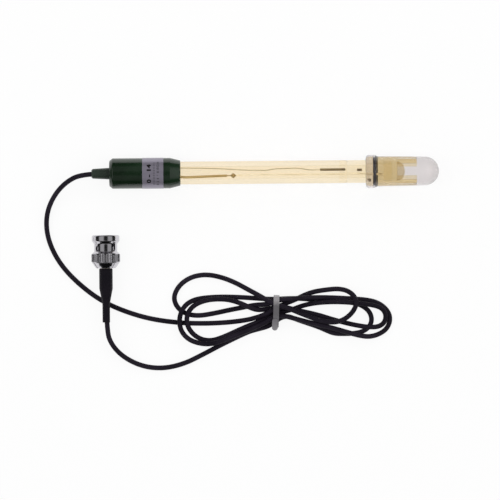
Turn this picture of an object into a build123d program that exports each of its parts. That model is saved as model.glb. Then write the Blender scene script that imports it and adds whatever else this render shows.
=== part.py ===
"""Combination pH electrode with a storage cap, and its coax lead, tied hank and bayonet plug.

Millimetres. The electrode lies along X with its capped tip towards +X. The origin is on the floor
under the middle of the electrode. The plug points along +Y.
"""

from build123d import *
from math import cos, pi, radians, sin, sqrt, tan
import os

# Electrode lengths along X, from the tail of the nib to the end of the cap
nib_length = 9.4
head_length = 37.2
stem_exposed = 87.3
guard_exposed = 9.95
cap_length = 38.35

overall_length = nib_length + head_length + stem_exposed + guard_exposed + cap_length
tail_x = -overall_length / 2
head_back_x = tail_x + nib_length
head_front_x = head_back_x + head_length
guard_joint_x = head_front_x + stem_exposed
cap_rim_x = guard_joint_x + guard_exposed
cap_end_x = cap_rim_x + cap_length

# Clearances
fit_gap = 0.05
seal_gap = 0.02
slide_gap = 0.1
loose_gap = 0.3

# How far a cutter reaches past the wall that it cuts
overshoot = 1.0

# Outer tube of the electrode
stem_r = 6.0
stem_wall = 1.0
stem_bore_r = stem_r - stem_wall
socket_depth = 15.0
socket_step = 0.4
shaft_back_x = head_front_x - socket_depth
joint_chamfer = 0.3

# Tip guard: spigot, partition and fingers round the bulb
guard_length = 36.55
guard_end_x = guard_joint_x + guard_length
spigot_length = 4.0
spigot_wall = 0.45
partition_offset = 5.2
partition_thickness = 2.6
partition_x = guard_joint_x + partition_offset
partition_end_x = partition_x + partition_thickness
guard_bore_r = 4.6
slot_width = 4.35
slot_length = 10.25
finger_round = 0.6

# Inner glass tube and bulb
glass_r = 3.5
glass_wall = 0.5
glass_bore_r = glass_r - glass_wall
bulb_r = 3.8
bulb_wall = 0.3
bulb_recess = 6.15
glass_tail = 1.5
glass_back_x = shaft_back_x - glass_tail
bulb_x = guard_end_x - bulb_recess - bulb_r

# Stoppers and seals
stopper_length = 6.0
stopper_inset = 0.5
cell_plug_length = 5.0
tip_seal_length = 4.5
tip_seal_gap = 2.6

# Wires and elements
signal_lead_r = 0.6
screen_lead_r = 0.4
wire_r = 0.25
reference_element_r = 0.65
reference_element_length = 13.3
reference_element_inset = 0.8
inner_element_r = 0.4
inner_element_length = 8.0
inner_element_bulb_gap = 4.0
signal_bead_r = 1.4
signal_bead_length = 2.8
signal_bead_stalk = 1.9
screen_joint_r = 0.7
screen_joint_length = 4.0
junction_r = 0.65
junction_angle = 10.5
pin_junction_r = 0.5
pin_junction_offset = 1.95
pin_junction_angle = -50.0
# Middle of the gap between the glass tube and the outer tube, where the reference wire runs
reference_radius = (glass_r + stem_bore_r) / 2

# Head
head_r = 8.0
head_back_r = 6.6
head_back_taper = 1.6
head_cone_length = 5.4
head_front_r = 6.65
head_back_wall = 2.0
head_cavity_r = 5.4
head_back_x_inner = head_back_x + head_back_wall
# Room for the leads inside the head, from the nib's flange to the back of the shaft tube
nib_flange_length = 1.2
lead_room_x = head_back_x_inner + nib_flange_length
lead_room = shaft_back_x - lead_room_x

# Foil label round the head
label_offset = 17.3
label_width = 11.1
label_thickness = 0.1

# Nib
nib_tail_r = 1.9
nib_small_r = 2.55
nib_large_r = 3.05
nib_chamfer = 0.7
nib_neck_r = 2.4
nib_flange_r = 3.4

# Storage cap
cap_rim_r = 8.7
cap_rim_front_r = 7.9
cap_rim_chamfer = 1.15
cap_rim_flat = 3.15
cap_rim_slope = 1.9
cap_body_r = 7.95
cap_dome_r = 7.55
cap_wall = 1.5
cap_bore_r = stem_r + loose_gap
ring_section_r = 0.73
ring_offset = 4.5
ring_seat = 0.05

# The electrode lies on the rim of its cap
axis_z = cap_rim_r

# Lead
cord_r = 1.3
cord_hole_r = cord_r + fit_gap
cord_inset = 7.1

# Plug: lengths are measured back from the nut's front face
knurl_r = 7.55
plug_x = -84.0
plug_z = knurl_r
nut_front_y = -32.2
nut_flange_r = 7.3
nut_flange_length = 3.1
nut_waist_r = 6.1
nut_waist_start = 4.6
nut_waist_end = 8.7
knurl_start = 9.6
knurl_end = 14.4
knurl_depth = 0.3
knurl_count = 44
nut_length = 17.4
nut_tail_r = 5.1
nut_bore_r = 4.9
nut_chamber_r = 6.2
nut_chamber_start = 11.0
lip_start = 15.2
lip_bore_r = 4.65

# Bayonet tracks in the nut, one on each side: a groove from the mouth, a helical groove and an end hole
slot_entry_angle = 46.0
slot_end_angle = -46.0
entry_width = 2.2
track_r = 5.6
entry_slot_start = 3.7
entry_slot_end = 8.6
end_hole_r = 1.25
end_hole_start = 5.9
end_hole_end = 8.4

# Plug body
contact_r = 4.05
contact_bore_r = 3.5
contact_start = 1.9
contact_slot_width = 0.5
contact_slot_length = 5.5
gasket_seat_r = 4.3
gasket_seat_start = 9.5
collar_r = nut_chamber_r - 0.25
collar_start = nut_chamber_start + slide_gap
collar_length = 1.5
barrel_r = lip_bore_r - 0.15
barrel_end = 17.2
crimp_stem_r = 2.5
crimp_stem_end = 25.4
contact_bore_end = 13.6
stem_passage_r = 1.2

# Pieces on and in the plug body
gasket_r = 4.75
gasket_length = 1.4
washer_thickness = 0.4
bowed_thickness = 0.25
ferrule_wall = 0.6
insulator_start = 7.0
insulator_step = 9.5
insulator_end = 13.4
centre_pin_r = 0.685
centre_pin_start = 3.4
centre_pin_shank_r = 1.15
centre_pin_end = 13.0
core_r = 0.8

# Boot
boot_start = nut_length + 0.2
boot_r = 3.525
boot_shoulder = 28.0
boot_neck_start = 35.9
boot_neck_r = 1.975
boot_end = 45.8
boot_cable_start = 27.0

# Lead from the nib to the hank, points chosen along its route on the floor
lead_route = [
    (tail_x + cord_inset, 0, axis_z),
    (-96.3, 0, axis_z),
    (-104.8, -4.3, 7.2),
    (-111.2, -11.5, 4.7),
    (-115.0, -20.5, 2.7),
    (-115.2, -30.5, 1.6),
    (-112.0, -40.5, cord_r),
    (-106.0, -50.0, cord_r),
    (-97.0, -59.0, cord_r),
    (-87.0, -66.5, cord_r),
    (-75.5, -72.0, cord_r),
    (-61.5, -76.4, cord_r),
    (-46.5, -78.6, cord_r),
]

# Lead from the plug to the hank
plug_lead_route = [
    (plug_x, nut_front_y - boot_cable_start, plug_z),
    (plug_x, -82.2, plug_z),
    (-81.3, -90.0, 5.9),
    (-75.0, -96.6, 3.2),
    (-65.3, -101.4, 1.7),
    (-54.5, -102.6, cord_r),
    (-43.5, -100.2, cord_r),
    (-33.5, -95.3, cord_r),
    (-24.5, -90.6, cord_r),
]

# Tied hank: two lobes and a waist, as outlines on the floor, with a rounding for each corner
hank_left = [
    (2.2, -66.2, 2), (-13.5, -57.5, 12), (-31.0, -50.5, 10), (-46.5, -54.5, 8), (-50.5, -66.0, 8),
    (-46.5, -75.0, 4), (-48.2, -82.0, 6), (-40.0, -91.0, 8), (-22.0, -92.0, 10), (2.2, -82.4, 2),
]
hank_right = [
    (7.6, -65.6, 2), (21.0, -64.2, 8), (34.0, -59.5, 8), (46.5, -61.5, 5), (50.0, -65.5, 4),
    (60.0, -67.0, 9), (68.0, -76.5, 8), (60.5, -88.5, 9), (34.0, -88.0, 6), (7.6, -78.8, 2),
]
left_lobe_height = 5.4
right_lobe_height = 9.5
waist_length = 8.4

# Strap round the hank's waist, and the middles of the outer strands that it holds as (y, z) beside tie_y
tie_x = 5.1
tie_y = -73.6
tie_turn = -1.9
tied_strands = [(7.15, 2.1), (6.8, 4.9), (3.7, 7.15), (-3.4, 4.75), (-5.8, 2.1)]
tie_width = 3.0
tie_thickness = 0.6
tie_gap = 0.15
tie_tail_length = 6.6
tie_tail_start = 1.1
tie_tail_shift = 0.5


def on_electrode(solid):
    """Put a solid made about the X axis on the electrode's axis."""
    return Pos(0, 0, axis_z) * solid


def on_plug(solid):
    """Put a solid made about the X axis, with its front towards +X, on the plug's axis."""
    return Pos(plug_x, nut_front_y, plug_z) * Rot(0, 0, 90) * solid


def turned(corners):
    """Solid turned about X from a closed outline of (x, radius, corner rounding)."""
    outline = FilletPolyline(
        *[(x, r) for x, r, _ in corners], radius=[rounding for *_, rounding in corners], close=True
    )
    return revolve(make_face(outline), Axis.X)


def rod(x0, x1, radius, y=0.0, z=0.0):
    """Cylinder along X from x0 to x1."""
    return Pos((x0 + x1) / 2, y, z) * Rot(0, 90, 0) * Cylinder(radius, x1 - x0)


def tube(x0, x1, outer, inner):
    """Tube along X from x0 to x1."""
    return rod(x0, x1, outer) - rod(x0, x1, inner)


def radial(angle, x, y_width, r0, r1, x_length):
    """Box that reaches out from the X axis, turned about it by an angle from +Z."""
    box = Pos(x, 0, (r0 + r1) / 2) * Box(x_length, y_width, r1 - r0)
    return Rot(angle, 0, 0) * box


def at_radius(radius, y):
    """Place (y, z) at a radius about the axis, above it."""
    return y, sqrt(radius * radius - y * y)


def corner_radii(points):
    """Arc radius for each inner corner of a route."""
    places = [Vector(*p) for p in points]
    radii = []
    for a, b, c in zip(places, places[1:], places[2:]):
        half_turn = radians((b - a).get_angle(c - b)) / 2
        radii.append(0.45 * min((b - a).length, (c - b).length) / tan(half_turn))
    return radii


def cable(points, radius):
    """Round cable along straight runs joined by tangent arcs."""
    path = FilletPolyline(*points, radius=corner_radii(points))
    section = Plane(origin=path @ 0, z_dir=path % 0) * Circle(radius)
    return sweep(section, path=path)


def shaft_tube():
    front_bore_r = stem_bore_r + spigot_wall + fit_gap
    return turned([
        (shaft_back_x, stem_bore_r, 0),
        (shaft_back_x, stem_r - socket_step, 0),
        (head_front_x, stem_r - socket_step, 0),
        (head_front_x, stem_r, 0),
        (guard_joint_x - joint_chamfer, stem_r, 0),
        (guard_joint_x, stem_r - joint_chamfer, 0),
        (guard_joint_x, front_bore_r, 0),
        (guard_joint_x - spigot_length - fit_gap, front_bore_r, 0),
        (guard_joint_x - spigot_length - fit_gap, stem_bore_r, 0),
    ])


def tip_guard():
    spigot_x = guard_joint_x - spigot_length
    spigot_r = stem_bore_r + spigot_wall
    glass_hole_r = glass_r + fit_gap
    body = turned([
        (spigot_x, stem_bore_r, 0),
        (spigot_x, spigot_r, 0),
        (guard_joint_x, spigot_r, 0),
        (guard_joint_x, stem_r - joint_chamfer, 0),
        (guard_joint_x + joint_chamfer, stem_r, 0),
        (guard_end_x, stem_r, finger_round),
        (guard_end_x, guard_bore_r, finger_round / 2),
        (partition_end_x, guard_bore_r, 0),
        (partition_end_x, glass_hole_r, 0),
        (partition_x, glass_hole_r, 0),
        (partition_x, stem_bore_r, 0),
    ])
    slot_x = guard_end_x - slot_length / 2
    for turn in (0, 90, 180, 270):
        body -= radial(turn, slot_x, slot_width, 0, stem_r + overshoot, slot_length)
    y, z = inner_junction_place()
    body -= rod(partition_x, partition_end_x, junction_r + seal_gap, y, z)
    body -= junction_pin(pin_junction_r + seal_gap, stem_r + overshoot)
    return body


def inner_junction_place():
    """Place (y, z) of the porous plug in the partition."""
    radius = glass_r + 0.25 + junction_r
    return radius * sin(radians(junction_angle)), radius * cos(radians(junction_angle))


def junction_pin(radius, reach):
    """Round pin through the guard's wall, pointing up and to the side."""
    x = cap_rim_x + pin_junction_offset
    pin = Pos(x, 0, (guard_bore_r + reach) / 2) * Cylinder(radius, reach - guard_bore_r)
    return Rot(-pin_junction_angle, 0, 0) * pin


def glass_half_cell():
    outside = rod(glass_back_x, bulb_x, glass_r) + Pos(bulb_x, 0, 0) * Sphere(bulb_r)
    inside = rod(glass_back_x, bulb_x, glass_bore_r) + Pos(bulb_x, 0, 0) * Sphere(bulb_r - bulb_wall)
    return outside - inside


def stem_stopper():
    start = shaft_back_x + stopper_inset
    bung = tube(start, start + stopper_length, stem_bore_r - seal_gap, glass_r + seal_gap)
    y, z = reference_wire_route()[0][1:]
    return bung - rod(start, start + stopper_length, wire_r + seal_gap, y, z)


def cell_plug():
    return tube(
        glass_back_x, glass_back_x + cell_plug_length, glass_bore_r - seal_gap, signal_lead_r + seal_gap
    )


def tip_seal():
    start = guard_end_x - slot_length - tip_seal_gap - tip_seal_length
    return tube(start, start + tip_seal_length, guard_bore_r - seal_gap, glass_r + seal_gap)


def cord_start_x():
    return tail_x + cord_inset


def signal_lead_route():
    plug_end_x = glass_back_x + cell_plug_length
    return [
        (cord_start_x(), 0, -0.6),
        (lead_room_x + 0.13 * lead_room, 0, -0.6),
        (glass_back_x - 0.26 * lead_room, 0, 0),
        (plug_end_x + 4.5, 0, 0),
        (plug_end_x + 12.0, -2.25, 0),
        (head_front_x + 24.4, -1.5, 0),
    ]


def signal_lead():
    return cable(signal_lead_route(), signal_lead_r)


def signal_joint():
    """Bead of solder on a short stalk, between the lead and the thin wire."""
    x, y, z = signal_lead_route()[-1]
    bead_x = x + signal_bead_stalk
    return Pos(0, y, z) * turned([
        (x, 0, 0),
        (x, wire_r, 0),
        (bead_x, wire_r, 0),
        (bead_x + signal_bead_length / 2, signal_bead_r, 0.5),
        (bead_x + signal_bead_length, wire_r, 0),
        (bead_x + signal_bead_length, 0, 0),
    ])


def inner_wire():
    x, y, z = signal_lead_route()[-1]
    start = x + signal_bead_stalk + signal_bead_length
    end = bulb_x - bulb_r - inner_element_bulb_gap - inner_element_length
    return cable([
        (start, y, z),
        (start + 6.5, y + 0.4, z),
        (start + 34.0, y + 0.2, z),
        (end, y + 0.4, z),
    ], wire_r)


def inner_element():
    end = bulb_x - bulb_r - inner_element_bulb_gap
    y = signal_lead_route()[-1][1] + 0.4
    bar = rod(end - inner_element_length, end, inner_element_r, y, 0)
    return fillet(bar.edges().sort_by(Axis.X)[-1], inner_element_r * 0.6)


def reference_wire_route():
    """The wire stays between the glass tube and the outer tube, and wanders a little sideways."""
    start = shaft_back_x - 0.24 * lead_room
    stopper_end = shaft_back_x + stopper_inset + stopper_length
    end = guard_joint_x - reference_element_inset - reference_element_length
    wander = [
        (start, 2.6), (stopper_end, 2.6), (stopper_end + 5.0, 2.62), (-27.0, 2.2), (-10.0, 1.1),
        (1.0, 0.9), (4.5, 1.65), (17.5, 1.95), (23.5, 0.85), (end, 1.05),
    ]
    return [(x, *at_radius(reference_radius, y)) for x, y in wander]


def reference_wire():
    return cable(reference_wire_route(), wire_r)


def reference_element():
    x, y, z = reference_wire_route()[-1]
    bar = rod(x, x + reference_element_length, reference_element_r, y, z)
    return fillet(bar.edges().sort_by(Axis.X)[-1], reference_element_r * 0.6)


def screen_joint():
    x, y, z = reference_wire_route()[0]
    return rod(x - screen_joint_length, x, screen_joint_r, y, z)


def screen_lead():
    x, y, z = reference_wire_route()[0]
    end = x - screen_joint_length
    start = cord_start_x()
    return cable([
        (start, 0, 0.75),
        (lead_room_x + 0.12 * lead_room, 0, 0.75),
        (end - 0.12 * lead_room, y, z),
        (end, y, z),
    ], screen_lead_r)


def inner_junction():
    y, z = inner_junction_place()
    return rod(partition_x, partition_end_x, junction_r, y, z)


def liquid_junction():
    wall = tube(guard_joint_x, guard_end_x, stem_r, guard_bore_r)
    return junction_pin(pin_junction_r, stem_r + overshoot) & wall


def head_cap():
    socket_r = stem_r - socket_step + fit_gap
    shoulder_x = shaft_back_x - fit_gap
    neck_hole_r = nib_neck_r + fit_gap
    return turned([
        (head_back_x, neck_hole_r, 0),
        (head_back_x, head_back_r, 0.5),
        (head_back_x + head_back_taper, head_r, 1.2),
        (head_front_x - head_cone_length, head_r, 0.8),
        (head_front_x, head_front_r, 0.4),
        (head_front_x, socket_r, 0),
        (shoulder_x, socket_r, 0),
        (shoulder_x, head_cavity_r, 0),
        (head_back_x_inner, head_cavity_r, 0.6),
        (head_back_x_inner, neck_hole_r, 0),
    ])


def head_label():
    start = head_back_x + label_offset
    inner = head_r + seal_gap
    return tube(start, start + label_width, inner + label_thickness, inner)


def strain_relief():
    return turned([
        (tail_x, cord_hole_r, 0),
        (tail_x, nib_tail_r, 0.2),
        (tail_x + nib_chamfer, nib_small_r, 0.2),
        (head_back_x, nib_large_r, 0.2),
        (head_back_x, nib_neck_r, 0),
        (head_back_x_inner, nib_neck_r, 0),
        (head_back_x_inner, nib_flange_r, 0),
        (lead_room_x, nib_flange_r, 0.3),
        (lead_room_x, cord_hole_r, 0),
    ])


def cap_ring_x():
    """Middle of the ring inside the cap's rim."""
    return cap_rim_x + ring_offset


def storage_cap():
    flat_end = cap_rim_x + cap_rim_chamfer + cap_rim_flat
    dome_x = cap_end_x - cap_dome_r
    bore_end_x = guard_end_x + 0.7
    shell = turned([
        (cap_rim_x, 0, 0),
        (cap_rim_x, cap_rim_front_r, 0.3),
        (cap_rim_x + cap_rim_chamfer, cap_rim_r, 0.5),
        (flat_end, cap_rim_r, 0.5),
        (flat_end + cap_rim_slope, cap_body_r, 0.8),
        (dome_x, cap_dome_r, 0),
        (dome_x, 0, 0),
    ])
    shell += Pos(dome_x, 0, 0) * Sphere(cap_dome_r)
    reservoir_r = cap_dome_r - cap_wall
    room = turned([
        (cap_rim_x, 0, 0),
        (cap_rim_x, cap_bore_r, 0),
        (bore_end_x, cap_bore_r, 0),
        (dome_x, reservoir_r, 0),
        (dome_x, 0, 0),
    ])
    room += Pos(dome_x, 0, 0) * Sphere(reservoir_r)
    groove_half = ring_section_r + ring_seat
    groove_r = stem_r + slide_gap + 2 * ring_section_r + ring_seat
    room += rod(cap_ring_x() - groove_half, cap_ring_x() + groove_half, groove_r)
    return shell - room


def cap_o_ring():
    return Pos(cap_ring_x(), 0, 0) * Rot(0, 90, 0) * Torus(
        stem_r + slide_gap + ring_section_r, ring_section_r
    )


def knurl():
    """Ring with straight knurling, as a toothed outline along X."""
    outline = []
    for i in range(2 * knurl_count):
        radius = knurl_r - knurl_depth * (i % 2)
        angle = pi * i / knurl_count
        outline.append((radius * cos(angle), radius * sin(angle)))
    ring = make_face(Polyline(*outline, close=True)) - Circle(nut_chamber_r + 0.5)
    length = knurl_end - knurl_start - 0.8
    return Pos(-(knurl_end + knurl_start + length) / 2, 0, 0) * Rot(0, 90, 0) * extrude(ring, length)


def bayonet_cuts():
    """Entry grooves, entry slots, helical grooves and end holes of the two bayonet tracks."""
    reach = nut_flange_r + overshoot
    floor_r = nut_bore_r - overshoot
    cuts = []
    for side in (0, 180):
        entry = side + slot_entry_angle
        end = side + slot_end_angle
        cuts.append(radial(entry, -entry_slot_start / 2, entry_width, floor_r, track_r, entry_slot_start))
        cuts.append(helical_cut(entry))
        slot_middle = -(entry_slot_start + entry_slot_end) / 2
        slot_run = entry_slot_end - entry_slot_start - entry_width
        cuts.append(oblong_cut(entry, slot_middle, slot_run, entry_width / 2, reach))
        hole_middle = -(end_hole_start + end_hole_end) / 2
        hole_run = end_hole_end - end_hole_start - 2 * end_hole_r + 0.4
        cuts.append(oblong_cut(end, hole_middle, hole_run, end_hole_r, reach))
    return cuts


def helical_cut(angle):
    """Cutter for the groove that leads a stud of the socket from the entry slot round to the end hole."""
    start = -entry_slot_start - entry_width / 2
    end = -(end_hole_start + end_hole_end) / 2
    rise = start - end
    turn = slot_entry_angle - slot_end_angle
    depth = track_r - nut_bore_r + overshoot
    path = Helix(pitch=rise * 360 / turn, height=rise, radius=track_r - depth / 2)
    section = Plane(origin=path @ 0, x_dir=(1, 0, 0), z_dir=path % 0) * Rectangle(depth, entry_width)
    groove = sweep(section, path=path, is_frenet=True)
    return Rot(angle, 0, 0) * Pos(start, 0, 0) * Rot(0, -90, 0) * groove


def oblong_cut(angle, x, run, radius, reach):
    """Cutter with round ends, run long between its end centres, that reaches out from the axis."""
    outline = SlotCenterToCenter(run, 2 * radius)
    return Rot(angle, 0, 0) * Pos(x, 0, 0) * extrude(outline, reach)


def coupling_nut():
    shell = turned([
        (0, nut_bore_r + 0.4, 0),
        (0, nut_flange_r, 0.9),
        (-nut_flange_length, nut_flange_r, 0.7),
        (-nut_waist_start, nut_waist_r, 1.2),
        (-nut_waist_end, nut_waist_r, 0.6),
        (-knurl_start, knurl_r - knurl_depth, 0.3),
        (-knurl_end, knurl_r - knurl_depth, 0.8),
        (-nut_length + 1.0, nut_tail_r + 0.8, 0.6),
        (-nut_length, nut_tail_r, 0.3),
        (-nut_length, lip_bore_r, 0),
        (-lip_start, lip_bore_r, 0),
        (-lip_start, nut_chamber_r, 0),
        (-nut_chamber_start, nut_chamber_r, 0),
        (-nut_chamber_start, nut_bore_r, 0),
        (-0.4, nut_bore_r, 0),
    ])
    shell += knurl()
    for cut in bayonet_cuts():
        shell -= cut
    return shell


def plug_body():
    body = turned([
        (-contact_start, contact_bore_r, 0),
        (-contact_start, contact_r - 0.25, 0),
        (-contact_start - 0.25, contact_r, 0),
        (-gasket_seat_start, contact_r, 0),
        (-gasket_seat_start, gasket_seat_r, 0),
        (-collar_start, gasket_seat_r, 0),
        (-collar_start, collar_r, 0.2),
        (-collar_start - collar_length, collar_r, 0.2),
        (-collar_start - collar_length, barrel_r, 0),
        (-barrel_end, barrel_r, 0.3),
        (-barrel_end, crimp_stem_r, 0),
        (-crimp_stem_end, crimp_stem_r, 0),
        (-crimp_stem_end, stem_passage_r, 0),
        (-contact_bore_end, stem_passage_r, 0),
        (-contact_bore_end, contact_bore_r, 0),
    ])
    middle = -contact_start - contact_slot_length / 2
    inside_r = contact_bore_r - overshoot
    outside_r = contact_r + overshoot
    for turn in (45, 135, 225, 315):
        body -= radial(turn, middle, contact_slot_width, inside_r, outside_r, contact_slot_length)
    return body


def plug_gasket():
    end = collar_start
    return tube(-end, -end + gasket_length, gasket_r, gasket_seat_r + seal_gap)


def thrust_washer():
    back = lip_start - slide_gap / 2
    return tube(-back, -back + washer_thickness, nut_chamber_r - 0.15, lip_bore_r + slide_gap)


def wave_washer():
    """Ring cut from a strip that is bowed about the Z axis, between the collar and the thrust washer."""
    half_width = nut_chamber_r - 0.2
    front = -(collar_start + collar_length) - fit_gap
    back = -(lip_start - slide_gap / 2 - washer_thickness) + fit_gap
    rise = front - back - 1.2 * bowed_thickness
    bow_r = (half_width**2 + rise**2) / (2 * rise)
    centre_x = front - bow_r
    strip_width = 2 * (half_width + overshoot)
    strip = Cylinder(bow_r, strip_width) - Cylinder(bow_r - bowed_thickness, strip_width)
    ring = tube(back, front + overshoot, half_width, lip_bore_r + slide_gap)
    return (Pos(centre_x, 0, 0) * strip) & ring


def plug_insulator():
    return turned([
        (-insulator_start, centre_pin_r + seal_gap, 0),
        (-insulator_start, contact_bore_r - seal_gap, 0.2),
        (-insulator_end, contact_bore_r - seal_gap, 0),
        (-insulator_end, centre_pin_shank_r + seal_gap, 0),
        (-insulator_step, centre_pin_shank_r + seal_gap, 0),
        (-insulator_step, centre_pin_r + seal_gap, 0),
    ])


def centre_pin():
    return turned([
        (-centre_pin_start, 0, 0),
        (-centre_pin_start, centre_pin_r, 0.5),
        (-insulator_step - fit_gap, centre_pin_r, 0),
        (-insulator_step - fit_gap, centre_pin_shank_r, 0),
        (-centre_pin_end, centre_pin_shank_r, 0),
        (-centre_pin_end, 0, 0),
    ])


def plug_core():
    return rod(-boot_cable_start, -centre_pin_end, core_r)


def crimp_ferrule():
    inner = crimp_stem_r + seal_gap
    return tube(-crimp_stem_end - 0.2, -barrel_end - 0.1, inner + ferrule_wall, inner)


def plug_boot():
    inner = crimp_stem_r + ferrule_wall + 2 * seal_gap
    cone_start = crimp_stem_end + 0.4
    return turned([
        (-boot_start, inner, 0),
        (-boot_start, boot_r, 0.2),
        (-boot_shoulder, boot_r, 3.0),
        (-boot_neck_start, boot_neck_r, 6.0),
        (-boot_end, boot_neck_r, 0.2),
        (-boot_end, cord_hole_r, 0),
        (-boot_cable_start - 2.0, cord_hole_r, 0),
        (-cone_start, inner, 0),
    ])


def cord_lead():
    return cable(lead_route, cord_r)


def plug_lead():
    return cable(plug_lead_route, cord_r)


def lobe(corners, height):
    outline = FilletPolyline(
        *[(x, y) for x, y, _ in corners], radius=[rounding for *_, rounding in corners], close=True
    )
    return extrude(make_face(outline), height)


def round_strands(margin):
    """Face across the lead's direction that wraps the tied strands, with a margin round them."""
    middles = make_face(Polyline(*tied_strands, close=True))
    return Plane.YZ * offset(middles, amount=cord_r + margin)


def on_waist(solid):
    return Pos(tie_x, tie_y, 0) * Rot(0, 0, tie_turn) * solid


def cord_hank():
    waist = on_waist(extrude(round_strands(0), waist_length / 2, both=True))
    return lobe(hank_left, left_lobe_height) + lobe(hank_right, right_lobe_height) + waist


def cord_tie():
    """Flat strap round the waist, with its tail lapped over the sloping side and past the strands."""
    band = extrude(round_strands(tie_gap + tie_thickness) - round_strands(tie_gap), tie_width / 2, both=True)
    (top_y, top_z), (side_y, side_z) = tied_strands[2:4]
    along = Vector(0, side_y - top_y, side_z - top_z).normalized()
    outward = Vector(0, along.Z, -along.Y)
    surface = Vector(0, side_y, side_z) + outward * (cord_r + tie_gap + tie_thickness / 2)
    lap = Plane(origin=surface, x_dir=along, z_dir=outward)
    tail = extrude(SlotOverall(tie_tail_length, tie_width), 1.5 * tie_thickness)
    tail = Pos(tie_tail_length / 2 - tie_tail_start, -tie_tail_shift, 0) * tail
    return on_waist(band + lap * tail)


def electrode_nodes():
    return {
        "shaft_tube": shaft_tube(),
        "tip_guard": tip_guard(),
        "glass_half_cell": glass_half_cell(),
        "stem_stopper": stem_stopper(),
        "cell_plug": cell_plug(),
        "tip_seal": tip_seal(),
        "signal_lead": signal_lead(),
        "signal_joint": signal_joint(),
        "inner_wire": inner_wire(),
        "inner_element": inner_element(),
        "reference_wire": reference_wire(),
        "reference_element": reference_element(),
        "screen_joint": screen_joint(),
        "screen_lead": screen_lead(),
        "inner_junction": inner_junction(),
        "liquid_junction": liquid_junction(),
        "head_cap": head_cap(),
        "head_label": head_label(),
        "strain_relief": strain_relief(),
        "storage_cap": storage_cap(),
        "cap_o_ring": cap_o_ring(),
    }


def plug_nodes():
    return {
        "coupling_nut": coupling_nut(),
        "plug_body": plug_body(),
        "plug_gasket": plug_gasket(),
        "thrust_washer": thrust_washer(),
        "wave_washer": wave_washer(),
        "plug_insulator": plug_insulator(),
        "centre_pin": centre_pin(),
        "plug_core": plug_core(),
        "crimp_ferrule": crimp_ferrule(),
        "plug_boot": plug_boot(),
    }


def lead_nodes():
    return {
        "cord_lead": cord_lead(),
        "plug_lead": plug_lead(),
        "cord_hank": cord_hank(),
        "cord_tie": cord_tie(),
    }


def main():
    os.makedirs("parts", exist_ok=True)
    nodes = {name: on_electrode(solid) for name, solid in electrode_nodes().items()}
    nodes.update({name: on_plug(solid) for name, solid in plug_nodes().items()})
    nodes.update(lead_nodes())
    for name, solid in nodes.items():
        export_step(solid, f"parts/{name}.step")
    for name, route in (("lead", lead_route), ("plug lead", plug_lead_route)):
        print(name, "arc radii", [round(r, 1) for r in corner_radii(route)])
    for name in ("cord_lead", "plug_lead"):
        length = nodes[name].volume / (pi * cord_r**2)
        print(name, "length", round(length, 1))


main()
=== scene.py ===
"""Look of the pH electrode: its camera, lights, lead and materials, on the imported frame."""

import bmesh
import bpy
from math import cos, pi, radians, sin
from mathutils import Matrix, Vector


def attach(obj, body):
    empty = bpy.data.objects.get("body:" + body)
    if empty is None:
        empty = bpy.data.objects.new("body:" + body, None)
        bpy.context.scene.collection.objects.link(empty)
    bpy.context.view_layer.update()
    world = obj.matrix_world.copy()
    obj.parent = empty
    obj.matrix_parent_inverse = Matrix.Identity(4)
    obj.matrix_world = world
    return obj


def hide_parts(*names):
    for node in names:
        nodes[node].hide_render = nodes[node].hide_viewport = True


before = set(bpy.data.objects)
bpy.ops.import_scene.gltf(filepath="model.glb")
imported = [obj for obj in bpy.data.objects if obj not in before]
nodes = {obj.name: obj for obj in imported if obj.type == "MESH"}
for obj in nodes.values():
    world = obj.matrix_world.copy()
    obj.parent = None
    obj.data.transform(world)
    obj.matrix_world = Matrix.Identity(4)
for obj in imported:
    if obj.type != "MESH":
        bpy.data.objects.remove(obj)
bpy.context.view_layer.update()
mm = 0.001

# Camera: straight down over the middle of the picture, turned half a degree. The view's width is that at
# the height of view_plane
view_width = 262.4 * mm
view_centre = (-8.34 * mm, -40.66 * mm)
view_turn = radians(-0.5)
view_plane = 5.0 * mm
lens = 400.0
sensor = 36.0
near_clip = 0.01

# Studio: half the floor's side, how much of its white hides the shadows, and the level of the surround
white = (1, 1, 1, 1)
floor_half = 1.6
floor_glow = 0.88
world_level = 0.5

# Lamps, all aimed at one place: name, place, width and depth, and power
lamp_aim = (-0.01, -0.04, 0.0)
softboxes = [
    ("left_softbox", (-0.62, -0.04, 0.85), (0.55, 1.1), 2.8),
    ("right_softbox", (0.60, -0.04, 0.85), (0.55, 1.1), 2.8),
    ("back_softbox", (-0.01, 0.75, 0.7), (1.1, 0.4), 1.6),
]

# Dome that only gloss reflects: steps around and up, bands by share of its height, and how the grey
# of the bands grows from front and back towards the panels at the left and right
dome_r = 1.5
dome_around = 64
dome_up = 24
dome_dark = "#262626"
dome_grey = "#B0B0B0"
dome_bands = [(0.5, dome_dark), (0.62, dome_grey), (0.93, dome_grey), (0.975, dome_dark)]
dome_back_share = 0.3
panel_start = 0.35
panel_full = 0.65

# Moulded surfaces: noise of the colour clouds and of the gloss, in cycles per metre, and the clouds' stops
noise_detail = 3.0
cloud_scale = 60.0
gloss_scale = 240.0
cloud_stops = (0.35, 0.5, 0.68)

# Electrode: height of its axis, places along it, the radii that part its inner walls from its outer ones, and
# how much of the cap's inner wall still shows
axis_z = 8.7 * mm
guard_joint_x = 42.8 * mm
cap_rim_x = 52.75 * mm
slot_back_x = 69.1 * mm
cap_dome_x = 83.55 * mm
stem_inside_r = 5.55 * mm
guard_inside_r = 5.4 * mm
cap_inside_r = 6.95 * mm
cap_inside_share = 0.06

# Clear pieces: how early their colour turns to that of their edges, and the roughness of their gloss
edge_blend = 0.25
clear_coat_roughness = 0.06

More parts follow.
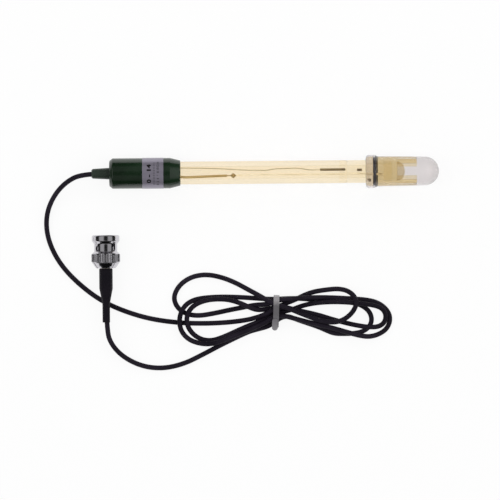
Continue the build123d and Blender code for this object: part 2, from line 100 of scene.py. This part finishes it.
# Tints along the electrode, as places and colours, and the farthest place that a tint can have
tint_reach = 100.0 * mm
guard_tints = [
    (guard_joint_x - 0.2 * mm, "#FFFDF8"), (guard_joint_x, "#F8EBD2"),
    (cap_rim_x + 3.0 * mm, "#F8EACC"), (cap_rim_x + 6.0 * mm, "#F8E5B2"),
]
glass_tints = [(slot_back_x - 0.3 * mm, "#FDFBF6"), (slot_back_x, "#F0E8D5")]

# Nickel: its roughness, and that of the nut's knurl between two places along the plug
nickel_roughness = 0.14
knurl_roughness = 0.3
knurl_low_y = -47.0 * mm
knurl_high_y = -42.6 * mm

# Strap: its lower end, its reach across the picture, and its painted light and shade from there upwards
tie_low_y = -82.9 * mm
tie_reach = 18.5 * mm
# The strap's grey with painted highlights at its ends and painted shade in its middle
tie_painted_shading = [(0.0, "#8C8A8D"), (0.25, "#767478"), (0.45, "#656366"), (0.7, "#656366"), (0.85, "#99979A")]

# Print on the label: place of each row along the electrode, size and boldness of its figures, its shift round
# the label, and the reach that is cut in strips so that the print follows the curve
label_r = 8.14 * mm
title_x = -60.9 * mm
title_height = 2.3 * mm
title_width = 10.6 * mm
title_bold = 0.045
tick_x = -58.2 * mm
tick_length = 1.0 * mm
tick_width = 0.3 * mm
figure_x = -56.2 * mm
figure_height = 1.35 * mm
figure_bold = 0.04
figure_every = 2
scale_span = 12.4 * mm
scale_top = 14
print_shift = -0.4 * mm
print_strip = 0.3 * mm
print_reach = 6.9 * mm

# Lead: its radius and length in metres, and its points in millimetres, from the electrode's nib through the
# tied hank to the plug
cord_r = 1.3 * mm

lead_route = [
    (-84.0, 0, 8.7), (-96.3, 0, 8.7), (-104.8, -4.3, 7.2), (-111.2, -11.5, 4.7), (-115.0, -20.5, 2.7),
    (-115.2, -30.5, 1.6), (-112.0, -40.5, 1.3), (-106.0, -50.0, 1.3), (-97.0, -59.0, 1.3),
    (-87.0, -66.5, 1.3), (-75.5, -72.0, 1.3), (-61.5, -76.4, 1.3), (-46.5, -78.6, 1.3),
]

# Turns of the hank in the order in which the lead runs through them, each from the tie and back to it
hank_route = [
    # Into the tie from the left
    (-33.3, -79.1, 1.3), (-21.2, -78.7, 1.3), (-11.3, -77.6, 1.3), (-6.0, -76.4, 1.9), (-1.6, -74.9, 3.9),
    (2.9, -72.7, 4.7), (7.1, -70.9, 4.7),
    # Right, second largest turn, out along its lower side
    (11.0, -71.0, 4.8), (15.5, -72.4, 4.3), (21.2, -73.6, 3.4), (28.0, -75.3, 1.9), (35.3, -77.7, 1.3),
    (43.2, -79.8, 1.6), (48.9, -81.0, 3.2), (53.9, -81.7, 4.1), (58.7, -81.6, 3.4), (61.8, -79.6, 2.9),
    (62.9, -76.2, 2.8), (61.7, -72.8, 3.0), (58.8, -70.8, 3.7), (53.2, -69.6, 5.0), (46.9, -68.8, 5.6),
    (41.2, -68.4, 5.5), (34.4, -68.2, 5.3), (28.1, -68.5, 4.6), (22.8, -69.2, 3.3), (18.1, -70.4, 1.9),
    (13.4, -72.2, 1.4), (9.2, -73.1, 2.0), (5.0, -74.1, 2.2),
    # Left, inner turn, out along its lower side
    (0.8, -75.9, 2.1), (-4.0, -78.4, 1.5), (-9.2, -80.3, 1.4), (-15.5, -83.0, 1.3), (-22.3, -86.1, 1.3),
    (-28.7, -88.2, 1.3), (-34.4, -87.5, 1.7), (-39.0, -84.4, 3.0), (-41.7, -80.0, 4.0), (-41.9, -75.0, 4.0),
    (-39.8, -71.0, 4.0), (-36.1, -68.3, 4.0), (-31.1, -66.7, 4.0), (-25.3, -66.2, 4.0), (-19.6, -66.6, 4.0),
    (-13.8, -68.4, 4.0), (-8.9, -70.8, 4.0), (-4.7, -72.3, 2.6), (0.3, -71.8, 1.9), (5.0, -70.8, 2.15),
    # Right, short turn that rises over the others
    (8.6, -69.6, 2.2), (12.1, -68.1, 3.2), (15.5, -66.8, 3.85), (20.0, -64.5, 3.9), (25.0, -62.8, 3.0),
    (31.3, -61.9, 2.6), (37.8, -61.3, 3.6), (43.0, -62.5, 6.0), (46.6, -65.7, 8.0), (47.3, -69.7, 8.2),
    (45.3, -73.7, 7.0), (41.6, -77.1, 5.6), (36.9, -79.0, 5.0), (31.4, -78.8, 5.0), (25.4, -77.1, 5.4),
    (19.1, -74.6, 6.2), (13.9, -72.4, 7.1), (9.2, -70.4, 7.3), (5.0, -69.7, 6.95),
    # Left, upper turn, out along its upper side
    (0.8, -67.3, 7.4), (-4.6, -64.1, 5.6), (-9.8, -61.3, 3.0), (-15.8, -57.9, 1.3), (-23.1, -54.9, 1.3),
    (-30.7, -53.3, 1.3), (-37.5, -54.0, 1.3), (-42.8, -56.5, 1.3), (-46.7, -60.3, 1.3), (-48.8, -65.5, 1.3),
    (-46.9, -70.6, 1.3), (-42.3, -74.0, 1.3), (-35.9, -75.1, 1.3), (-27.5, -73.8, 1.3), (-19.1, -72.0, 1.3),
    (-12.3, -70.8, 1.3), (-6.4, -69.6, 1.3), (-2.0, -69.4, 3.4), (1.5, -69.0, 4.6), (5.0, -67.5, 4.85),
    # Right, largest turn, out along its upper side
    (9.2, -66.7, 5.0), (14.0, -66.4, 6.1), (18.7, -66.0, 6.8), (24.4, -65.9, 5.5), (30.2, -65.9, 3.6),
    (37.5, -66.2, 3.1), (45.4, -66.7, 3.1), (52.2, -67.3, 2.7), (57.7, -68.5, 1.6), (61.9, -71.1, 1.3),
    (64.7, -74.9, 1.3), (64.9, -79.2, 1.3), (62.8, -83.1, 1.3), (58.8, -85.6, 1.6), (54.1, -86.8, 2.8),
    (49.1, -86.2, 3.9), (43.1, -84.5, 4.0), (36.8, -82.6, 4.0), (30.6, -80.9, 3.9), (23.8, -79.3, 3.9),
    (17.5, -77.6, 3.9), (12.6, -76.2, 4.3), (7.6, -75.0, 4.7), (3.6, -76.2, 4.7),
    # Left, outer turn, out along its lower side
    (-0.3, -78.6, 4.4), (-5.0, -80.8, 3.9), (-10.3, -83.1, 3.7), (-16.1, -85.2, 3.7), (-22.4, -87.9, 3.7),
    (-29.2, -90.0, 3.9), (-35.7, -89.5, 3.9), (-41.3, -87.2, 3.9), (-44.9, -83.0, 3.9), (-45.9, -77.6, 3.9),
    (-44.8, -72.6, 3.9), (-42.0, -68.7, 3.4), (-37.4, -66.3, 2.1), (-31.1, -65.4, 1.4), (-23.2, -65.1, 1.3),
    (-14.3, -65.4, 1.3), (-5.9, -66.0, 1.5), (-0.2, -66.5, 2.1), (5.6, -66.6, 2.2),
    # Right, lowest turn, out along its upper side
    (10.8, -66.3, 1.4), (16.6, -66.3, 1.3), (23.9, -66.9, 1.3), (31.7, -67.8, 1.3), (39.6, -68.4, 1.3),
    (45.9, -68.8, 1.3), (50.9, -70.6, 1.3), (54.4, -73.8, 1.3), (55.5, -78.0, 1.3), (53.9, -81.8, 1.3),
    (50.1, -84.3, 1.3), (45.2, -85.0, 1.3), (40.0, -85.1, 1.3), (35.4, -84.9, 1.3), (31.6, -83.3, 1.3),
    (27.4, -81.4, 1.3), (21.9, -79.5, 1.3), (15.9, -77.4, 1.3), (11.6, -75.6, 1.5), (7.8, -76.1, 2.1),
    # Out of the tie to the left
    (4.5, -78.4, 2.2), (1.0, -80.8, 2.1), (-3.5, -82.0, 1.6), (-8.7, -83.3, 1.3), (-14.0, -85.6, 1.3),
]

plug_lead_route = [
    (-24.5, -90.6, 1.3), (-33.5, -95.3, 1.3), (-43.5, -100.2, 1.3), (-54.5, -102.6, 1.3),
    (-65.3, -101.4, 1.7), (-75.0, -96.6, 3.2), (-81.3, -90.0, 5.9), (-84.0, -82.2, 7.55),
    (-84.0, -59.2, 7.55),
]


def linear(code):
    """Linear colour from a hex code."""
    parts = [int(code[i:i + 2], 16) / 255 for i in (1, 3, 5)]
    curve = [c / 12.92 if c <= 0.04045 else ((c + 0.055) / 1.055) ** 2.4 for c in parts]
    return (*curve, 1.0)


def material(name, colour, roughness, metallic=0.0, **sockets):
    """Principled material; sockets are named with underscores for spaces."""
    made = bpy.data.materials.new(name)
    made.use_nodes = True
    shader = made.node_tree.nodes["Principled BSDF"]
    shader.inputs["Base Color"].default_value = linear(colour)
    shader.inputs["Roughness"].default_value = roughness
    shader.inputs["Metallic"].default_value = metallic
    for socket, value in sockets.items():
        shader.inputs[socket.replace("_", " ")].default_value = value
    return made


def add_node(made, kind, **inputs):
    """Shader node with its unlinked inputs set by name."""
    node = made.node_tree.nodes.new(kind)
    for name, value in inputs.items():
        node.inputs[name.replace("_", " ")].default_value = value
    return node


def drive(made, socket, output):
    """Link an output to a socket of the material's shader."""
    shader = made.node_tree.nodes["Principled BSDF"]
    made.node_tree.links.new(output, shader.inputs[socket])


def calculate(made, operation, first, second=None):
    """Math node over an output and, where it takes two, a number or a second output."""
    node = add_node(made, "ShaderNodeMath")
    node.operation = operation
    made.node_tree.links.new(first, node.inputs[0])
    if isinstance(second, float):
        node.inputs[1].default_value = second
    elif second is not None:
        made.node_tree.links.new(second, node.inputs[1])
    return node.outputs["Value"]


def length_of(made, *parts):
    """Length of the vector that is put together from outputs for its x, y and z."""
    tree = made.node_tree
    joined = add_node(made, "ShaderNodeCombineXYZ")
    for output, socket in zip(parts, joined.inputs):
        tree.links.new(output, socket)
    length = add_node(made, "ShaderNodeVectorMath")
    length.operation = "LENGTH"
    tree.links.new(joined.outputs["Vector"], length.inputs[0])
    return length.outputs["Value"]


def place_parts(made):
    """Outputs for x, y and z on a piece, in its own coordinates: for a CAD node, the frame's at rest."""
    place = add_node(made, "ShaderNodeTexCoord")
    parts = add_node(made, "ShaderNodeSeparateXYZ")
    made.node_tree.links.new(place.outputs["Object"], parts.inputs["Vector"])
    return [parts.outputs[axis] for axis in "XYZ"]


def noise(made, scale, stretch=(1, 1, 1)):
    """Noise in object coordinates, in cycles per metre, stretched by axis. Returns the factor output."""
    tree = made.node_tree
    place = add_node(made, "ShaderNodeTexCoord")
    mapping = add_node(made, "ShaderNodeMapping", Scale=stretch)
    texture = add_node(made, "ShaderNodeTexNoise", Scale=scale, Detail=noise_detail)
    tree.links.new(place.outputs["Object"], mapping.inputs["Vector"])
    tree.links.new(mapping.outputs["Vector"], texture.inputs["Vector"])
    return texture.outputs["Fac"]


def ramp(made, factor, stops):
    """Colour ramp over a factor, from (position, hex colour) pairs. Returns the colour output."""
    node = add_node(made, "ShaderNodeValToRGB")
    elements = node.color_ramp.elements
    while len(elements) < len(stops):
        elements.new(0.5)
    for element, (position, colour) in zip(elements, stops):
        element.position = position
        element.color = linear(colour)
    made.node_tree.links.new(factor, node.inputs["Fac"])
    return node.outputs["Color"]


def spread(made, factor, low, high):
    """Map a 0 to 1 factor to a range."""
    node = add_node(made, "ShaderNodeMapRange", To_Min=low, To_Max=high)
    made.node_tree.links.new(factor, node.inputs["Value"])
    return node.outputs["Result"]


def bump(made, height, distance):
    """Bump the surface by a height output."""
    node = add_node(made, "ShaderNodeBump", Strength=1.0, Distance=distance)
    made.node_tree.links.new(height, node.inputs["Height"])
    drive(made, "Normal", node.outputs["Normal"])


def moulded(name, colours, roughness, grain, depth, **sockets):
    """Moulded plastic or rubber: slight colour clouds, uneven gloss and a fine surface grain."""
    made = material(name, colours[1], sum(roughness) / 2, **sockets)
    clouds = ramp(made, noise(made, cloud_scale), list(zip(cloud_stops, colours)))
    drive(made, "Base Color", clouds)
    drive(made, "Roughness", spread(made, noise(made, gloss_scale), *roughness))
    bump(made, noise(made, grain), depth)
    return made


def dress(made, *names):
    """Give a material to every face of the CAD nodes."""
    for name in names:
        node = nodes[name]
        node.data.materials.clear()
        node.data.materials.append(made)


def smooth():
    """Shade the CAD nodes smoothly."""
    for node in nodes.values():
        node.data.shade_smooth()


def camera():
    """Camera that looks straight down on the object."""
    data = bpy.data.cameras.new("camera")
    data.lens = lens
    data.sensor_width = sensor
    data.clip_start = near_clip
    eye = bpy.data.objects.new("camera", data)
    distance = view_width * lens / sensor
    eye.location = (*view_centre, view_plane + distance)
    eye.rotation_euler = (0, 0, view_turn)
    bpy.context.scene.collection.objects.link(eye)
    bpy.context.scene.camera = eye


def view_settings():
    """Colours shown as they are rendered."""
    bpy.context.scene.view_settings.view_transform = "Standard"


def lead():
    """The lead as one smooth curve, from inside the nib to inside the plug's boot."""
    points = lead_route + hank_route + plug_lead_route
    data = bpy.data.curves.new("lead", "CURVE")
    data.dimensions = "3D"
    data.bevel_depth = cord_r
    data.bevel_resolution = 6
    data.resolution_u = 8
    spline = data.splines.new("NURBS")
    spline.points.add(len(points) - 1)
    for target, (x, y, z) in zip(spline.points, points):
        target.co = (x * mm, y * mm, z * mm, 1)
    spline.order_u = 3
    spline.use_endpoint_u = True
    piece = bpy.data.objects.new("lead", data)
    bpy.context.scene.collection.objects.link(piece)
    data.materials.append(moulded(
        "cord_black", ("#18141D", "#1F1A24", "#28232E"), roughness=(0.5, 0.62), grain=900.0, depth=0.04 * mm,
        Specular_IOR_Level=0.15,
    ))
    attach(piece, "electrode")
    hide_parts("cord_lead", "cord_hank", "plug_lead")


def stage_piece(name, vertices, faces, made):
    """Piece of the studio, which isn't part of the object."""
    data = bpy.data.meshes.new(name)
    data.from_pydata(vertices, [], faces)
    data.materials.append(made)
    piece = bpy.data.objects.new(name, data)
    bpy.context.scene.collection.objects.link(piece)
    return piece


def show_white(made, share, lit, plain, result):
    """Mix a plain white over a lit shader, by a share, for the rays that show the background."""
    tree = made.node_tree
    path = add_node(made, "ShaderNodeLightPath")
    seen = path.outputs["Is Camera Ray"]
    for ray in ("Is Glossy Ray", "Is Transmission Ray"):
        seen = calculate(made, "MAXIMUM", seen, path.outputs[ray])
    mix = add_node(made, "ShaderNodeMixShader")
    tree.links.new(calculate(made, "MULTIPLY", seen, share), mix.inputs["Fac"])
    tree.links.new(lit, mix.inputs[1])
    tree.links.new(plain, mix.inputs[2])
    tree.links.new(mix.outputs["Shader"], result)


def floor():
    """White floor that keeps a part of the shadows."""
    made = material("floor_white", "#FFFFFF", roughness=0.9, Specular_IOR_Level=0.1)
    parts = made.node_tree.nodes
    glow = add_node(made, "ShaderNodeEmission", Color=white, Strength=1.0)
    lit = parts["Principled BSDF"].outputs["BSDF"]
    show_white(made, floor_glow, lit, glow.outputs["Emission"], parts["Material Output"].inputs["Surface"])
    corners = [(-floor_half, -floor_half, 0), (floor_half, -floor_half, 0)]
    corners += [(floor_half, floor_half, 0), (-floor_half, floor_half, 0)]
    stage_piece("floor", corners, [(0, 1, 2, 3)], made)


def dome_material():
    """Dim room with a grey panel half way up on its left and right."""
    made = bpy.data.materials.new("dome_grey")
    made.use_nodes = True
    tree = made.node_tree
    tree.nodes.clear()
    x, y, z = place_parts(made)
    height = calculate(made, "DIVIDE", z, dome_r)
    sideways = calculate(made, "ABSOLUTE", calculate(made, "DIVIDE", x, length_of(made, x, y)))
    panel = add_node(
        made, "ShaderNodeMapRange", From_Min=panel_start, From_Max=panel_full, To_Min=dome_back_share
    )
    glow = add_node(made, "ShaderNodeEmission")
    result = add_node(made, "ShaderNodeOutputMaterial")
    tree.links.new(sideways, panel.inputs["Value"])
    tree.links.new(panel.outputs["Result"], glow.inputs["Strength"])
    tree.links.new(ramp(made, height, dome_bands), glow.inputs["Color"])
    tree.links.new(glow.outputs["Emission"], result.inputs["Surface"])
    return made


def dome():
    """Dome that only reflections show."""
    vertices = []
    for row in range(dome_up):
        tilt = pi / 2 * row / dome_up
        ring_r = dome_r * cos(tilt)
        for step in range(dome_around):
            turn = 2 * pi * step / dome_around
            vertices.append((ring_r * cos(turn), ring_r * sin(turn), dome_r * sin(tilt)))
    top = len(vertices)
    vertices.append((0, 0, dome_r))
    faces = []
    for row in range(dome_up - 1):
        for step in range(dome_around):
            a = row * dome_around + step
            b = row * dome_around + (step + 1) % dome_around
            faces.append((a, b, b + dome_around, a + dome_around))
    last = (dome_up - 1) * dome_around
    faces += [(last + step, last + (step + 1) % dome_around, top) for step in range(dome_around)]
    piece = stage_piece("dome", vertices, faces, dome_material())
    piece.visible_camera = False
    piece.visible_diffuse = False
    piece.visible_transmission = False
    piece.visible_volume_scatter = False
    piece.visible_shadow = False


def area_light(name, place, size, power):
    """Soft lamp that gloss doesn't show."""
    data = bpy.data.lights.new(name, "AREA")
    data.shape = "RECTANGLE"
    data.size, data.size_y = size
    data.energy = power
    lamp = bpy.data.objects.new(name, data)
    lamp.location = place
    lamp.rotation_euler = (Vector(lamp_aim) - Vector(place)).to_track_quat("-Z", "Y").to_euler()
    lamp.visible_glossy = False
    bpy.context.scene.collection.objects.link(lamp)


def lights():
    """Even white surround and three soft lamps. The background is white where it is looked at."""
    world = bpy.data.worlds.new("world")
    bpy.context.scene.world = world
    world.use_nodes = True
    parts = world.node_tree.nodes
    surround = parts["Background"]
    surround.inputs["Color"].default_value = white
    surround.inputs["Strength"].default_value = world_level
    plain = add_node(world, "ShaderNodeBackground", Color=white, Strength=1.0)
    lit = surround.outputs["Background"]
    show_white(world, 1.0, lit, plain.outputs["Background"], parts["World Output"].inputs["Surface"])
    for softbox in softboxes:
        area_light(*softbox)


def clear_plastic(name, face, roughness, ior, coat):
    """Clear material with a glossy coat."""
    return material(
        name, face, roughness, Transmission_Weight=1.0, IOR=ior, Coat_Weight=coat,
        Coat_Roughness=clear_coat_roughness,
    )


def tint_edges(made, face, edge):
    """Base colour that deepens from a wall seen face on to one seen edge on, as tinted walls do."""
    weight = add_node(made, "ShaderNodeLayerWeight", Blend=edge_blend)
    drive(made, "Base Color", ramp(made, weight.outputs["Facing"], [(0.0, face), (1.0, edge)]))


def tint_along(made, tints):
    """Base colour by the place along the electrode, from (place, hex colour) pairs."""
    reach = calculate(made, "DIVIDE", place_parts(made)[0], tint_reach)
    drive(made, "Base Color", ramp(made, reach, [(place / tint_reach, colour) for place, colour in tints]))


def clear_inside(made, radius, share):
    """Inner walls nearly gone, as they are where a wet or greased wall meets what it holds.

    Inside is what lies nearer to the axis than the radius. The axis ends at the middle of the cap's dome.
    """
    x, y, z = place_parts(made)
    past_dome = calculate(made, "MAXIMUM", calculate(made, "SUBTRACT", x, cap_dome_x), 0.0)
    from_axis = length_of(made, past_dome, y, calculate(made, "SUBTRACT", z, axis_z))
    inner = calculate(made, "LESS_THAN", from_axis, radius)
    drive(made, "Alpha", spread(made, inner, low=1.0, high=share))


def clear_stem():
    """Amber tube, a little deeper in colour at its sides."""
    made = clear_plastic("amber_plastic", "#FBEFD8", roughness=0.04, ior=1.06, coat=0.3)
    tint_edges(made, "#FBEFD8", "#EBD6AC")
    clear_inside(made, stem_inside_r, share=0.0)
    dress(made, "shaft_tube")


def clear_guard():
    """Amber guard, clear where it sits in the stem and deeper in colour inside the liquid of the cap."""
    made = clear_plastic("amber_guard", "#EBDCBF", roughness=0.06, ior=1.06, coat=0.3)
    tint_along(made, guard_tints)
    clear_inside(made, guard_inside_r, share=0.0)
    dress(made, "tip_guard")


def clear_glass():
    """Glass tube, with a bulb that is a little darker where the guard's slot shows it."""
    made = clear_plastic("sensing_glass", "#FEFCF8", roughness=0.01, ior=1.015, coat=0.05)
    tint_along(made, glass_tints)
    dress(made, "glass_half_cell")


def clear_cap():
    """The cap is full of storage liquid, so its inner walls hardly show and what is in it looks larger."""
    made = clear_plastic("clear_cap", "#E1DCDC", roughness=0.05, ior=1.3, coat=0.3)
    tint_edges(made, "#E1DCDC", "#A29D9F")
    clear_inside(made, cap_inside_r, share=cap_inside_share)
    dress(made, "storage_cap")


def head_materials():
    """Green head and nib, and the silver-grey wrap."""
    green = moulded(
        "head_green", ("#0F2011", "#132716", "#1A2F1D"), roughness=(0.17, 0.26), grain=1100.0,
        depth=0.01 * mm, Specular_IOR_Level=0.8,
    )
    dress(green, "head_cap")
    nib = moulded(
        "nib_green", ("#222C23", "#29352B", "#313E33"), roughness=(0.4, 0.5), grain=1100.0, depth=0.03 * mm
    )
    dress(nib, "strain_relief")
    foil = material("foil", "#96919F", roughness=0.3, metallic=0.5)
    bump(foil, noise(foil, scale=700.0, stretch=(1, 0.2, 0.2)), distance=0.02 * mm)
    dress(foil, "head_label")


def wire_materials():
    """Wires, insulated core, screen and joints inside the electrode. The inner wire's silver is paler as
    painted light.
    """
    silver = material("silver_wire", "#BEB192", roughness=0.45, metallic=0.3)
    tarnish_stops = [(0.35, "#AC9F80"), (0.55, "#BEB192"), (0.7, "#CCC1A6")]
    drive(silver, "Base Color", ramp(silver, noise(silver, scale=120.0), tarnish_stops))
    dress(silver, "reference_wire")
    # Painted light: the inner wire's silver is made paler to stand in for the light that the clear walls
    # around it keep off
    painted_light_silver = material("silver_wire_painted_light", "#EDE4CE", roughness=0.45, metallic=0.1)
    painted_light_stops = [(0.4, "#E2D6BA"), (0.6, "#F2EAD8")]
    drive(painted_light_silver, "Base Color", ramp(painted_light_silver, noise(painted_light_silver, scale=150.0), painted_light_stops))
    dress(painted_light_silver, "inner_wire")
    insulation = moulded(
        "lead_insulation", ("#A08B5C", "#AF9B6C", "#BDAA7E"), roughness=(0.4, 0.55), grain=900.0,
        depth=0.02 * mm,
    )
    dress(insulation, "signal_lead")
    solder = material("solder", "#A5926A", roughness=0.4, metallic=0.3)
    bump(solder, noise(solder, scale=1500.0), distance=0.05 * mm)
    dress(solder, "signal_joint", "screen_joint")
    copper = material("screen_copper", "#B8744A", roughness=0.35, metallic=1.0)
    bump(copper, noise(copper, scale=2500.0, stretch=(0.2, 1, 1)), distance=0.03 * mm)
    dress(copper, "screen_lead")


def element_materials():
    """The coated ends of the wires. The one in the cap is pale, as the picture shows nothing dark there."""
    dark = moulded(
        "silver_chloride", ("#5A4F39", "#6A5D44", "#7C6F55"), roughness=(0.6, 0.75), grain=2500.0,
        depth=0.05 * mm,
    )
    dress(dark, "reference_element")
    pale = moulded(
        "silver_chloride_pale", ("#E0D6C0", "#E9E0CC", "#F0E9DA"), roughness=(0.6, 0.75), grain=2500.0,
        depth=0.03 * mm,
    )
    dress(pale, "inner_element")


def seal_materials():
    """Rubber, silicone and porous pieces of the electrode."""
    ring = moulded(
        "ring_rubber", ("#1B1C1D", "#242527", "#2E2F31"), roughness=(0.5, 0.65), grain=800.0, depth=0.03 * mm
    )
    dress(ring, "cap_o_ring")
    silicone = moulded(
        "pale_silicone", ("#E4DAC3", "#ECE3CE", "#F2EADA"), roughness=(0.45, 0.6), grain=500.0,
        depth=0.03 * mm,
    )
    dress(silicone, "stem_stopper", "cell_plug")
    seal = moulded(
        "tip_seal_amber", ("#FEFBF2", "#FFFDF7", "#FFFEFB"), roughness=(0.05, 0.1), grain=500.0,
        depth=0.003 * mm, Transmission_Weight=1.0, IOR=1.03,
    )
    dress(seal, "tip_seal")
    porous = moulded(
        "porous_plug", ("#4A4034", "#5F5344", "#766957"), roughness=(0.75, 0.9), grain=3000.0, depth=0.08 * mm
    )
    dress(porous, "inner_junction", "liquid_junction")


def nickel_materials():
    """Bright nickel, duller on the knurl of the nut."""
    nickel = material("nickel", "#CCCACF", nickel_roughness, metallic=1.0)
    drive(nickel, "Roughness", spread(nickel, noise(nickel, scale=500.0), low=0.1, high=0.2))
    dress(nickel, "plug_body", "thrust_washer")
    knurled = material("nickel_knurled", "#CCCACF", nickel_roughness, metallic=1.0)
    y = place_parts(knurled)[1]
    past_start = calculate(knurled, "GREATER_THAN", y, knurl_low_y)
    before_end = calculate(knurled, "LESS_THAN", y, knurl_high_y)
    on_knurl = calculate(knurled, "MULTIPLY", past_start, before_end)
    drive(knurled, "Roughness", spread(knurled, on_knurl, nickel_roughness, knurl_roughness))
    dress(knurled, "coupling_nut")


def plug_materials():
    """Pieces of the plug that aren't nickel."""
    bronze = material("spring_bronze", "#8F846C", roughness=0.35, metallic=1.0)
    bump(bronze, noise(bronze, scale=1200.0), distance=0.02 * mm)
    dress(bronze, "wave_washer", "crimp_ferrule")
    gold = material("gold_contact", "#D9A441", roughness=0.2, metallic=1.0)
    bump(gold, noise(gold, scale=1500.0), distance=0.01 * mm)
    dress(gold, "centre_pin")
    insulator = moulded(
        "white_insulator", ("#E4E3DF", "#EDECE9", "#F3F2EF"), roughness=(0.35, 0.45), grain=600.0,
        depth=0.02 * mm,
    )
    dress(insulator, "plug_insulator", "plug_core")
    gasket = moulded(
        "gasket_rubber", ("#77777A", "#828285", "#8E8E91"), roughness=(0.5, 0.65), grain=800.0,
        depth=0.03 * mm,
    )
    dress(gasket, "plug_gasket")
    boot = moulded(
        "boot_black", ("#120F17", "#17131B", "#1D1822"), roughness=(0.5, 0.62), grain=900.0, depth=0.04 * mm,
        Specular_IOR_Level=0.2,
    )
    dress(boot, "plug_boot")


def strap_material():
    """Grey strap with painted highlights at both of its ends and painted shade between them."""
    made = moulded(
        "tie_grey", ("#5F5E60", "#6A696B", "#767577"), roughness=(0.35, 0.5), grain=700.0, depth=0.03 * mm
    )
    # Painted light and shade: the colour runs from pale to dark to pale up the strap, by place alone
    above_end = calculate(made, "SUBTRACT", place_parts(made)[1], tie_low_y)
    across = calculate(made, "DIVIDE", above_end, tie_reach)
    drive(made, "Base Color", ramp(made, across, tie_painted_shading))
    dress(made, "cord_tie")


def materials():
    """A material for every CAD node that the lead doesn't replace."""
    clear_stem()
    clear_guard()
    clear_glass()
    clear_cap()
    head_materials()
    wire_materials()
    element_materials()
    seal_materials()
    nickel_materials()
    plug_materials()
    strap_material()


def flat_text(body, height, bold, width=None):
    """Points and faces of a printed text, lying flat with its middle at the origin."""
    curve = bpy.data.curves.new("text", "FONT")
    curve.body = body
    curve.size = 1.0
    curve.offset = bold
    holder = bpy.data.objects.new("text", curve)
    bpy.context.scene.collection.objects.link(holder)
    bpy.context.view_layer.update()
    mesh = bpy.data.meshes.new_from_object(holder.evaluated_get(bpy.context.evaluated_depsgraph_get()))
    bpy.data.objects.remove(holder)
    bpy.data.curves.remove(curve)
    points = [v.co.copy() for v in mesh.vertices]
    faces = [tuple(p.vertices) for p in mesh.polygons]
    bpy.data.meshes.remove(mesh)
    low_x, low_y = [min(p[i] for p in points) for i in (0, 1)]
    high_x, high_y = [max(p[i] for p in points) for i in (0, 1)]
    middle_x = (low_x + high_x) / 2
    middle_y = (low_y + high_y) / 2
    scale_y = height / (high_y - low_y)
    scale_x = scale_y if width is None else width / (high_x - low_x)
    return [((p.x - middle_x) * scale_x, (p.y - middle_y) * scale_y) for p in points], faces


def flat_bar(length, width):
    """Points and faces of a printed bar, lying flat with its middle at the origin."""
    half_u = width / 2
    half_v = length / 2
    return [(-half_u, -half_v), (half_u, -half_v), (half_u, half_v), (-half_u, half_v)], [(0, 1, 2, 3)]


def label_piece(name, parts, made):
    """One printed piece wrapped on the label, from parts: points and faces, row, and place along the row."""
    shape = bmesh.new()
    for (points, polygons), row_x, along in parts:
        corners = [shape.verts.new((along + u + print_shift, v - row_x, 0)) for u, v in points]
        for polygon in polygons:
            shape.faces.new([corners[i] for i in polygon])
    cuts = round(print_reach / print_strip)
    for cut in range(-cuts, cuts + 1):
        everything = shape.verts[:] + shape.edges[:] + shape.faces[:]
        bmesh.ops.bisect_plane(
            shape, geom=everything, plane_co=(cut * print_strip, 0, 0), plane_no=(1, 0, 0)
        )
    bmesh.ops.triangulate(shape, faces=shape.faces[:])
    for corner in shape.verts:
        turn = corner.co.x / label_r
        corner.co = (-corner.co.y, label_r * sin(turn), axis_z + label_r * cos(turn))
    data = bpy.data.meshes.new(name)
    shape.to_mesh(data)
    shape.free()
    data.materials.append(made)
    piece = bpy.data.objects.new(name, data)
    bpy.context.scene.collection.objects.link(piece)
    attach(piece, "electrode")


def label_print():
    """Generic figures: the range, and a scale of marks with every second one numbered."""
    black = material("print_black", "#08070B", roughness=0.6)
    grey = material("print_grey", "#4A474E", roughness=0.6)
    title = flat_text(f"0 - {scale_top}", title_height, title_bold, title_width)
    label_piece("label_range", [(title, title_x, 0.0)], black)
    parts = []
    for mark in range(scale_top + 1):
        along = scale_span * (mark / scale_top - 0.5)
        parts.append((flat_bar(tick_length, tick_width), tick_x, along))
        if mark % figure_every == 0:
            parts.append((flat_text(str(mark), figure_height, figure_bold), figure_x, along))
    label_piece("label_scale", parts, grey)


camera()
view_settings()
floor()
dome()
lights()
lead()
materials()
smooth()
label_print()
